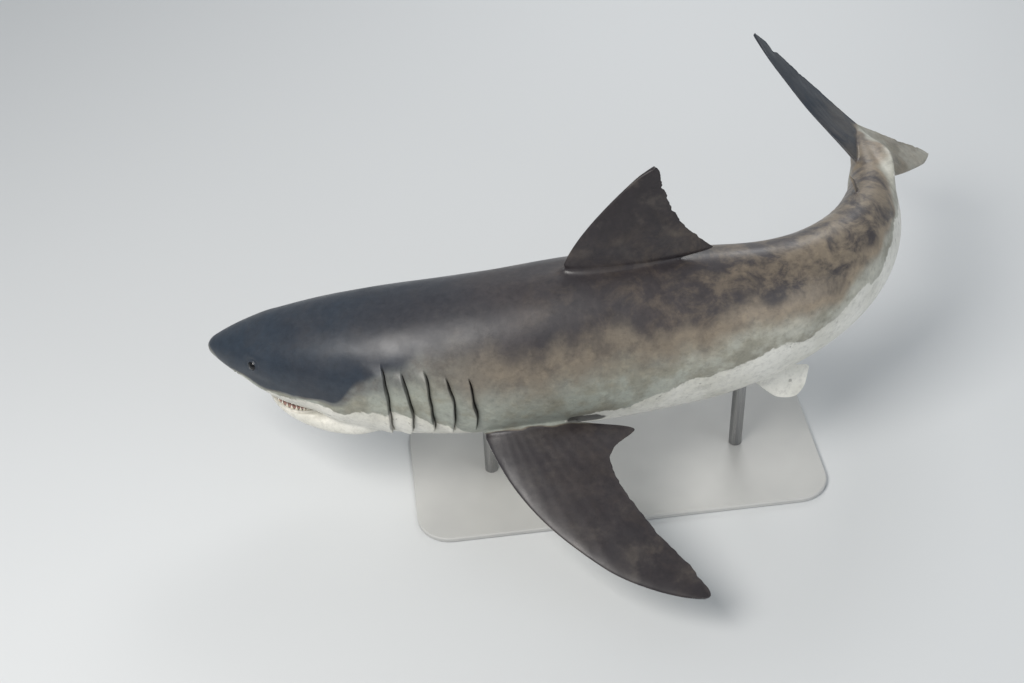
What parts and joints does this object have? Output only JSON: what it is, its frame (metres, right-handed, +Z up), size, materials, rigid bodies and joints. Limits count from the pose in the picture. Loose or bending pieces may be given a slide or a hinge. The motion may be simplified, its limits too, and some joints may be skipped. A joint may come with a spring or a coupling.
{
  "type": "great white shark on a display stand",
  "caption": "Life-size great white shark turning to its right, tail swung round and pectoral fins spread, held over a flat base by rods.",
  "frame": {"origin": "on the floor, under the centre of the bounding box", "axes": "+Z up; the shark heads along -X with its left side towards -Y, and its tail swings round towards +Y"},
  "size_m": [2.89, 2.167, 1.3215],
  "materials": {
    "skin": "smooth damp shark skin, dark slate and bronze grey above, off-white below",
    "eye": "black, wet and glossy",
    "teeth": "satin enamel",
    "mouth": "damp pink-white flesh",
    "stand": "fine satin powder coat",
    "stand_rod": "brushed along its length"
  },
  "bodies": {
    "root": {"head": "skin", "gill_region": "skin", "trunk_front": "skin", "trunk_middle": "skin", "trunk_rear": "skin", "tail_stalk": "skin", "lower_jaw": "skin", "first_dorsal_fin": "skin", "second_dorsal_fin": "skin", "anal_fin": "skin", "caudal_fin_upper_lobe": "skin", "caudal_fin_lower_lobe": "skin", "pectoral_fin_left": "skin", "pectoral_fin_right": "skin", "pelvic_fin_left": "skin", "pelvic_fin_right": "skin", "eye_left": "eye", "eye_right": "eye", "stand_base": "stand", "stand_rod_front": "stand_rod", "stand_rod_rear": "stand_rod"}
  },
  "joints": []
}
